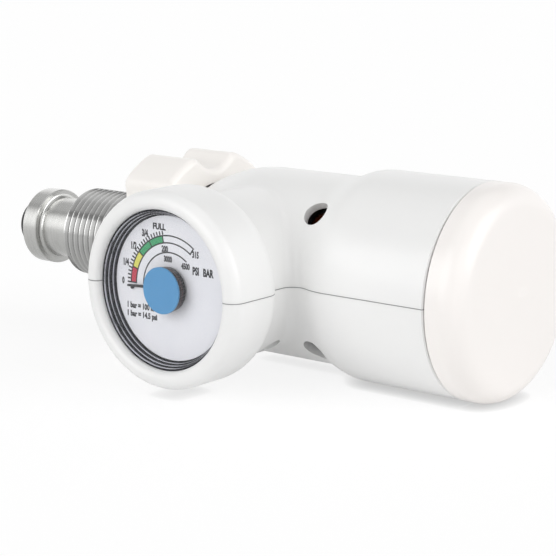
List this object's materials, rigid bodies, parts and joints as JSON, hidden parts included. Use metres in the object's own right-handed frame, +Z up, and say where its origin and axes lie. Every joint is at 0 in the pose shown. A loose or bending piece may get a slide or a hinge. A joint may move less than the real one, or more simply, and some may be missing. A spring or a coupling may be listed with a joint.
{
  "type": "medical gas regulator",
  "caption": "White-cased gas cylinder regulator with threaded inlet, handwheel, round content gauge, rotary flow knob and side hose nipple.",
  "frame": {"origin": "centre of the inlet nose's front face, on the main axis", "axes": "+X along the main axis from the inlet nose towards the flow knob, -Y towards the gauge's face, +Z up across the case's parting plane"},
  "size_m": [0.1542, 0.091, 0.05],
  "materials": {
    "case_white": "gloss",
    "wheel_white": "satin",
    "knob_white": "satin",
    "turned_steel": "turned satin",
    "bright_steel": "polished",
    "brass": "machined",
    "spring_steel": "drawn wire",
    "seal_black": "satin",
    "seat_white": "matte",
    "bearing_plastic": "matte",
    "sintered_bronze": "porous",
    "body_alloy": "machined",
    "dial_white": "satin print",
    "pointer_black": "satin",
    "hub_black": "gloss",
    "hub_blue": "satin",
    "bezel_chrome": "turned",
    "clear_window": "clear"
  },
  "bodies": {
    "regulator": {"upper_shell": "case_white", "lower_shell": "case_white", "case_screws": "spring_steel", "inlet_stem": "turned_steel", "nose_seal": "seal_black", "inlet_filter": "sintered_bronze", "inlet_gasket": "seat_white", "regulator_body": "body_alloy", "valve_seat": "brass", "piston_guide": "brass", "guide_seal": "seal_black", "piston_spring": "spring_steel", "relief_body": "brass", "relief_spring": "spring_steel", "relief_cap": "brass", "port_plug": "bright_steel", "flow_head": "body_alloy", "shaft_seal": "seal_black", "flow_seal": "seat_white", "detent_spring": "spring_steel", "stop_pin": "bright_steel", "outlet_nipple": "bright_steel", "gauge_case": "bright_steel", "gauge_socket": "brass", "bourdon_tube": "brass", "movement_frame": "brass", "dial_plate": "dial_white", "bezel_ring": "bezel_chrome", "gauge_window": "clear_window"},
    "bush": {"thrust_bush": "bearing_plastic"},
    "wheel": {"handwheel": "wheel_white", "threaded_sleeve": "turned_steel", "retaining_ring": "spring_steel"},
    "piston_unit": {"piston": "brass", "seat_pad": "seat_white", "piston_seal": "seal_black"},
    "poppet": {"relief_poppet": "seal_black"},
    "selector": {"flow_knob": "knob_white", "selector_shaft": "bright_steel", "orifice_disc": "brass"},
    "ball": {"detent_ball": "bright_steel"},
    "pointer_unit": {"pointer": "pointer_black", "pointer_hub": "hub_black", "hub_disc": "hub_blue", "pointer_arbor": "bright_steel"},
    "sector": {"sector_gear": "brass"}
  },
  "joints": [
    {"name": "sleeve_slide", "type": "slide", "parent": "regulator", "child": "bush", "axis": [-1, 0, 0], "range_m": [0, 0.0113]},
    {"name": "wheel_turn", "type": "hinge", "parent": "bush", "child": "wheel", "pos_m": [0.05, 0, 0], "axis": [1, 0, 0], "continuous": true},
    {"name": "piston_slide", "type": "slide", "parent": "regulator", "child": "piston_unit", "axis": [-1, 0, 0], "range_m": [0, 0.00075], "stiffness_N_per_m": 40000, "deforming": ["piston_spring"]},
    {"name": "relief_lift", "type": "slide", "parent": "regulator", "child": "poppet", "axis": [0, -0.7071, 0.7071], "range_m": [0, 0.0008], "stiffness_N_per_m": 2000, "deforming": ["relief_spring"]},
    {"name": "knob_turn", "type": "hinge", "parent": "regulator", "child": "selector", "pos_m": [0.1395, 0, 0], "axis": [1, 0, 0], "range_deg": [0, 300]},
    {"name": "detent_slide", "type": "slide", "parent": "regulator", "child": "ball", "axis": [-1, 0, 0], "range_m": [0, 0.0004], "stiffness_N_per_m": 2000, "deforming": ["detent_spring"]},
    {"name": "pointer_turn", "type": "hinge", "parent": "regulator", "child": "pointer_unit", "pos_m": [0.082, -0.0422, 0], "axis": [0, 1, 0], "range_deg": [0, 128], "stiffness_Nm_per_rad": 0.0002},
    {"name": "sector_turn", "type": "hinge", "parent": "regulator", "child": "sector", "pos_m": [0.082, -0.035, -0.009], "axis": [0, -1, 0], "range_deg": [0, 25.6]}
  ],
  "couplings": [
    {"joint": "sector_turn", "follows": "pointer_turn", "ratio": 0.2}
  ]
}
